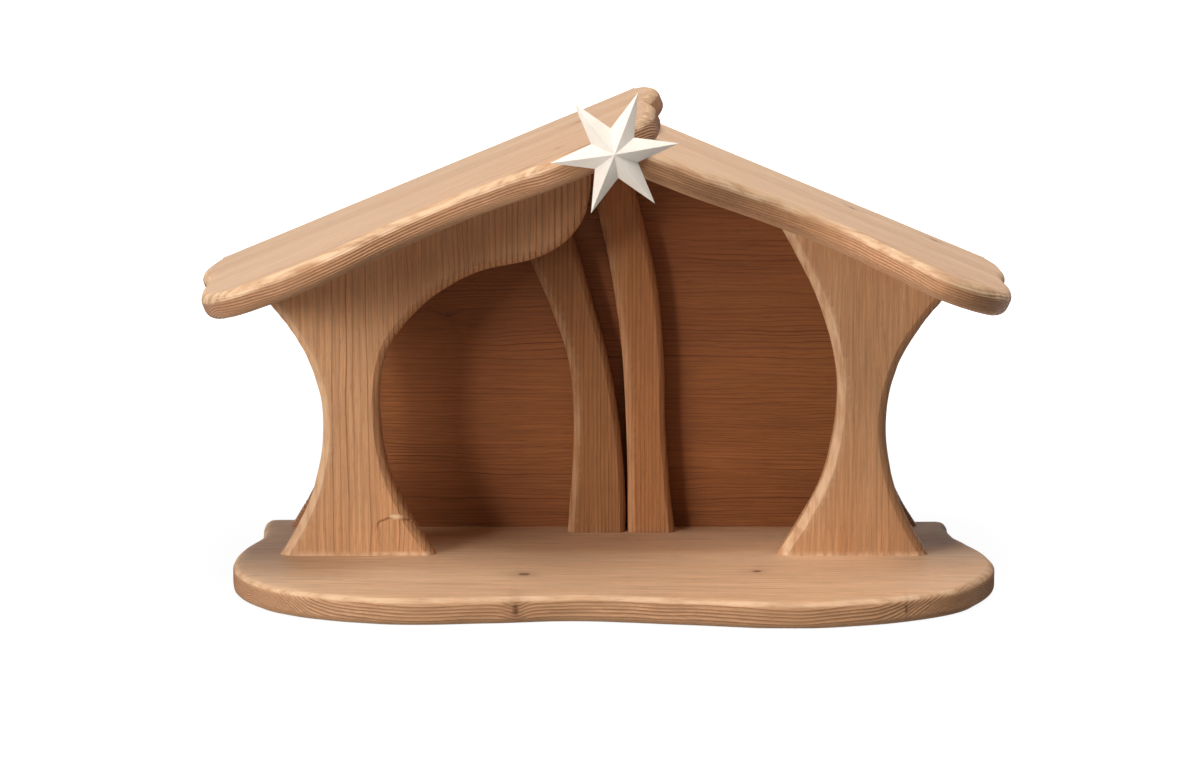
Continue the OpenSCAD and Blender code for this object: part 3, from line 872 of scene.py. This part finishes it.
# The wood of each board, in mm. Its grain lies along the board's axis a or b, and its pith is at a
# place across the grain and through the thickness. Spacing lists the distance between rings by
# distance from the pith, vary and beat are how much and how often that changes, and sway is how
# far the rings wander. A knot or flame has a place, a size and a lift of the rings around it.
# The rings follow the front edge over the stretch of follow, as closely as bend says. Relief is
# the depth of the brushed grooves. Crease is the angle in degrees at which an arris meets its
# face, and rounder widens the arris. Shade and bold change the brightness and the lines. A chip
# is a shallow torn area below its top, with a pale oval spot beside it.
WOODS = {
    "base_board": dict(
        look="base", grain="a", pith=(-45, -10), follow=(-128, 128), sway=0.25, seed=1, relief=0.26,
        spacing=[(0, 1.0), (20, 0.95), (27, 0.9), (34, 0.68), (45, 0.58), (60, 1.4), (90, 2.6)],
        vary=0.12, beat=6.0,
        knots=(
            ((-35.3, -28, 12), (2.9, 2.5, 3), 2.6), ((67.1, -22.7, 12), (2.3, 1.9, 3), 2.0),
            ((-38, -70, 6.4), (1.5, 5, 3.2), 1.2), ((129, -68, 6.5), (0.35, 4, 2.4), 0),
        ),
    ),
    # The roof boards are the same wood: the left board's lower shade is painted shade, which evens
    # out the key light falling on it.
    "roof_board_left": dict(
        look="roof", grain="a", pith=(-64, -30), follow=(-98, 88), bend=0.75, sway=0.5, seed=11,
        relief=0.34, shade=0.83, arris_steps=24,
        spacing=[(0, 1.2), (45, 1.1), (60, 1.5), (90, 2.0), (140, 2.6)], vary=0.15, beat=9.0,
        knots=(((68.5, 26.4, 12), (2.2, 1.4, 3), 1.2), ((58.9, -43.8, 12), (1.2, 0.7, 3), 0.8)),
    ),
    "roof_board_right": dict(
        look="roof", grain="a", pith=(-36, -34), follow=(-48, 100), bend=0.75, sway=0.5, seed=21,
        relief=0.26, shade=1.02, bold=0.8, arris_steps=24,
        spacing=[(0, 1.3), (55, 1.1), (90, 2.0), (140, 2.6)], vary=0.15, beat=8.0,
        knots=(((41.2, 48.4, 12), (2.4, 1.6, 3), 1.2), ((82.7, 56.7, 12), (2.2, 1.6, 3), 1.2)),
    ),
    "front_panel_left": dict(
        look="panel", grain="b", pith=(205, 3), sway=0.6, seed=31, relief=0.16, shade=1.1,
        crease=38, rounder=1.2,
        spacing=[(205, 2.9), (260, 2.5), (295, 2.0), (309, 2.5), (320, 3.2), (334, 3.9)],
        vary=0.08, beat=6.0,
        flames=(
            ((24, -92, 12), (6, 4, 4), 2.2), ((20, -104, 12), (8, 1.5, 4), 0.6),
            ((142, -66, 12), (3, 3, 4), 1.6),
        ),
        chip=dict(
            top=29.3, left=-101.5, corner=3.0, depth=0.4, rim_from=24, spot=(29.9, -92.9),
            spot_size=(1.05, 3.1), across=(-104, -82), along=(13, 33),
        ),
    ),
    "front_panel_right": dict(
        look="panel", grain="b", pith=(-90, 2), sway=1.3, seed=41, relief=0.14, shade=0.9, bold=0.5,
        crease=38, rounder=1.35, spacing=[(160, 2.0), (250, 3.0)], vary=0.5, beat=10.0,
        flames=(((135, 124, 12), (11, 2.2, 6), 5.0),),
    ),
    # The posts are the same wood: the lower shade of the left post is a painted shadow over it, and
    # the higher shade of the right post painted light.
    "inner_post_left": dict(
        look="post", grain="b", pith=(120, 4), sway=0.7, seed=51, relief=0.22, shade=0.82,
        crease=38, spacing=[(100, 1.6), (170, 2.2)], vary=0.2, beat=12.0,
    ),
    "inner_post_right": dict(
        look="post", grain="b", pith=(-130, 5), sway=0.7, seed=61, relief=0.22, shade=1.15,
        crease=38, spacing=[(100, 1.5), (170, 2.0)], vary=0.2, beat=12.0,
    ),
    "back_wall": dict(
        look="wall", grain="a", pith=(-60, -8), sway=1.4, seed=71, relief=0.25,
        spacing=[(60, 1.4), (140, 1.8), (260, 2.4)], vary=0.5, beat=11.0,
        knots=(((-71.9, 112, 12), (1.6, 1.0, 3), 2.2),),
    ),
}
SLOTS = {
    "base": "base", "roof": "roof_wood", "panel": "panel_wood", "post": "post_wood",
    "wall": "wall_wood",
}


def build_boards():
    """Every board, with one material for each kind."""
    materials = {name: brushed_wood(SLOTS[name], look) for name, look in LOOKS.items()}
    for node, wood in WOODS.items():
        board = wooden_board(node, wood, materials[wood["look"]])


def carved_star():
    """The star with its edges slightly eased, as carved and painted wood has them."""
    mesh = frame["nodes"]["star"].data.copy()
    star = bpy.data.objects.new("painted_star", mesh)
    bpy.context.scene.collection.objects.link(star)
    bm = bmesh.new()
    bm.from_mesh(mesh)
    bmesh.ops.remove_doubles(bm, verts=bm.verts, dist=1e-6)
    bmesh.ops.dissolve_limit(bm, angle_limit=math.radians(2), verts=bm.verts, edges=bm.edges)
    sharp = [e for e in bm.edges if e.calc_face_angle(0) > math.radians(12)]
    bmesh.ops.bevel(
        bm, geom=sharp, offset=0.06 * MM, segments=2, profile=0.5, affect="EDGES",
        clamp_overlap=True,
    )
    bm.to_mesh(mesh)
    bm.free()
    mesh.materials.clear()
    mesh.materials.append(star_paint())
    for face in mesh.polygons:
        face.use_smooth = True
    return fit_out(star, "star")


def dress_hidden_pieces():
    """The CAD's own dowels and pin keep their solids and get their finish."""
    wood, steel = beech(), pin_steel()
    finishes = {"base_dowels": wood, "roof_dowels": wood, "ridge_dowels": wood, "star_pin": steel}
    for node, material in finishes.items():
        materials = frame["nodes"][node].data.materials
        materials.clear()
        materials.append(material)


# Studio

WHITE = (1, 1, 1, 1)
CAMERA_PLACE = -0.002, -1.3904, 0.362
CAMERA_DOWN = math.radians(11.01)
# Each light's azimuth from the front and elevation in degrees, width and height in m, and watts
SOFT_BOXES = {
    "key": (-53, 13, 0.95, 0.8, 19),
    "key_near": (-38, 7, 0.3, 0.5, 9),
    "front": (6, 66, 0.7, 0.7, 25.5),
    "top": (10, 86, 0.9, 0.9, 9),
    "back": (180, 0, 1.2, 0.4, 3),
}
LIGHT_AIM = Vector((0, 0, 0.1))
LIGHT_DISTANCE = 1.9
# Strength of the floor's own white, and its share near the stable, where the shadow has to show
FLOOR_GLOW, NEAR_SHARE = 1.45, 0.65


def studio_camera():
    """The photograph's view: a long lens, a little above the roof, looking 11 degrees down."""
    data = bpy.data.cameras.new("camera")
    data.sensor_width, data.lens = 36, 96
    data.clip_start, data.clip_end = 0.05, 30
    camera = bpy.data.objects.new("camera", data)
    camera.location = CAMERA_PLACE
    camera.rotation_euler = (math.pi / 2 - CAMERA_DOWN, 0, 0)
    bpy.context.scene.collection.objects.link(camera)
    bpy.context.scene.camera = camera


def soft_box(name, azimuth, elevation, width, height, watts):
    """An oval soft light aimed at the stable."""
    data = bpy.data.lights.new(name, "AREA")
    data.shape, data.size, data.size_y, data.energy = "ELLIPSE", width, height, watts
    light = bpy.data.objects.new(name, data)
    turn, rise = math.radians(azimuth), math.radians(elevation)
    way = Vector((
        math.sin(turn) * math.cos(rise), -math.cos(turn) * math.cos(rise), math.sin(rise)
    ))
    light.location = LIGHT_AIM + LIGHT_DISTANCE * way
    light.rotation_euler = (-way).to_track_quat("-Z", "Y").to_euler()
    bpy.context.scene.collection.objects.link(light)


def seen(tree):
    """1 for camera, glossy and transmission rays, which see the white background."""
    path = tree.nodes.new("ShaderNodeLightPath")
    result = path.outputs["Is Camera Ray"]
    for ray in ("Is Transmission Ray", "Is Glossy Ray"):
        either = tree.nodes.new("ShaderNodeMath")
        either.operation = "MAXIMUM"
        tree.links.new(result, either.inputs[0])
        tree.links.new(path.outputs[ray], either.inputs[1])
        result = either.outputs[0]
    return result


def white_world():
    """A white background to look at, which adds almost no light of its own."""
    world = bpy.data.worlds.new("studio")
    world.use_nodes = True
    bpy.context.scene.world = world
    tree = world.node_tree
    shown, soft = tree.nodes["Background"], tree.nodes.new("ShaderNodeBackground")
    for background, strength in ((shown, 1.0), (soft, 0.01)):
        background.inputs["Color"].default_value = WHITE
        background.inputs["Strength"].default_value = strength
    mix = tree.nodes.new("ShaderNodeMixShader")
    tree.links.new(seen(tree), mix.inputs[0])
    tree.links.new(soft.outputs[0], mix.inputs[1])
    tree.links.new(shown.outputs[0], mix.inputs[2])
    tree.links.new(mix.outputs[0], tree.nodes["World Output"].inputs["Surface"])


def pale_floor():
    """A white studio floor that keeps the object's soft shadow."""
    mesh = bpy.data.meshes.new("floor")
    bm = bmesh.new()
    bmesh.ops.create_grid(bm, x_segments=8, y_segments=8, size=6)
    bm.to_mesh(mesh)
    bm.free()
    floor = bpy.data.objects.new("floor", mesh)
    bpy.context.scene.collection.objects.link(floor)
    nodes = Nodes("floor_white")
    place = nodes.add("TexCoord", "Object")
    grey = nodes.mix(nodes.noise(place, (6, 6, 6)), (0.21, 0.21, 0.21, 1), (0.23, 0.23, 0.23, 1))
    nodes.finish(Base_Color=grey, Roughness=0.9)
    glow = nodes.add("Emission", inputs={"Color": WHITE, "Strength": FLOOR_GLOW})
    away = nodes.add("VectorMath", 1, {0: place}, operation="LENGTH")
    share = nodes.span(away, 0.25, 0.75, NEAR_SHARE, 1.0, smooth=True)
    share = nodes.times(seen(nodes.tree), share)
    mixed = nodes.add("MixShader", inputs={0: share, 1: nodes.shader.outputs[0], 2: glow})
    nodes.tree.links.new(mixed, nodes.tree.nodes["Material Output"].inputs["Surface"])
    mesh.materials.append(nodes.material)


studio_camera()
build_boards()
carved_star()
dress_hidden_pieces()
pale_floor()
for box, values in SOFT_BOXES.items():
    soft_box(box, *values)
white_world()

bpy.context.scene.view_settings.view_transform = "Standard"
